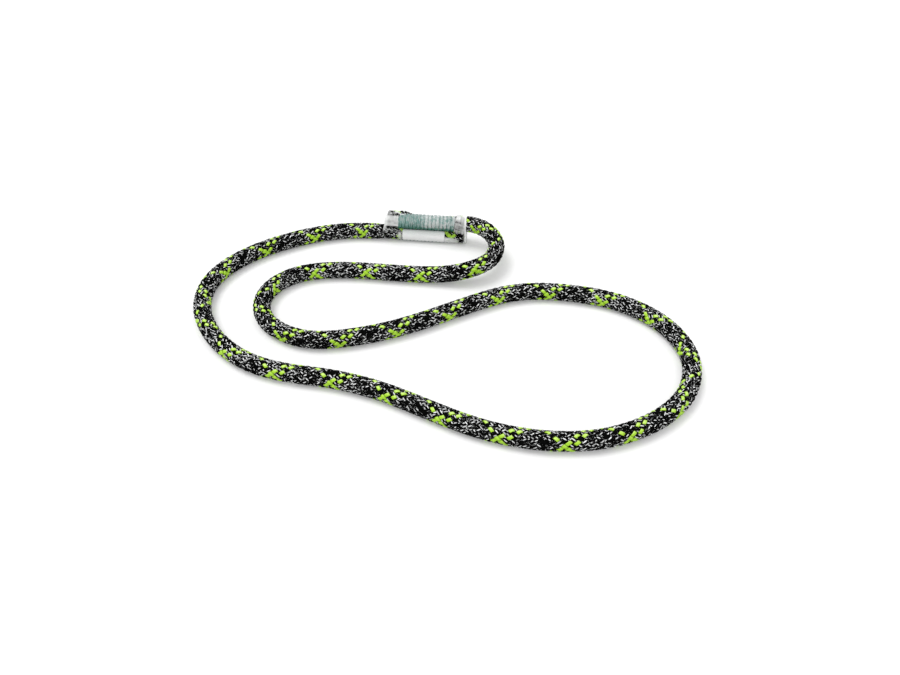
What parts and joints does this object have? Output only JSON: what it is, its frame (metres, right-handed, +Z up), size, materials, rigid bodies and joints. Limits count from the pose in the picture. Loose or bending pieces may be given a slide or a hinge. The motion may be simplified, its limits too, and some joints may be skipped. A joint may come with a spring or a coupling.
{
  "type": "endless loop sling",
  "caption": "Closed loop of braided kernmantle cord lying in a curled shape, its overlapped ends sewn together under a clear shrink sleeve with a blank label strip.",
  "frame": {"origin": "middle of the sewn joint's flat underside, on the surface that the sling lies on", "axes": "+Z up from that surface; +X along the longer side of the laid-out loop, towards its wide lobe; +Y towards the sewn joint's side"},
  "size_m": [0.2906, 0.193, 0.0215],
  "materials": {
    "sheath_yarn": "braided black cover yarn with white flecks and lime green marks, soft sheen",
    "core_yarn": "off-white twisted core yarn",
    "needle_yarn": "teal sewing thread, slightly glossy",
    "bobbin_yarn": "teal sewing thread, slightly glossy",
    "label_film": "blank pale grey film strip, satin",
    "sleeve_film": "clear, slightly milky heat-shrink film, glossy"
  },
  "bodies": {
    "root": {"rope_sheath": "sheath_yarn", "core_strand_1": "core_yarn", "core_strand_2": "core_yarn", "core_strand_3": "core_yarn", "core_strand_4": "core_yarn", "core_strand_5": "core_yarn", "core_strand_6": "core_yarn", "core_strand_7": "core_yarn", "needle_thread": "needle_yarn", "bobbin_thread": "bobbin_yarn", "label_strip": "label_film", "shrink_sleeve": "sleeve_film"}
  },
  "joints": []
}
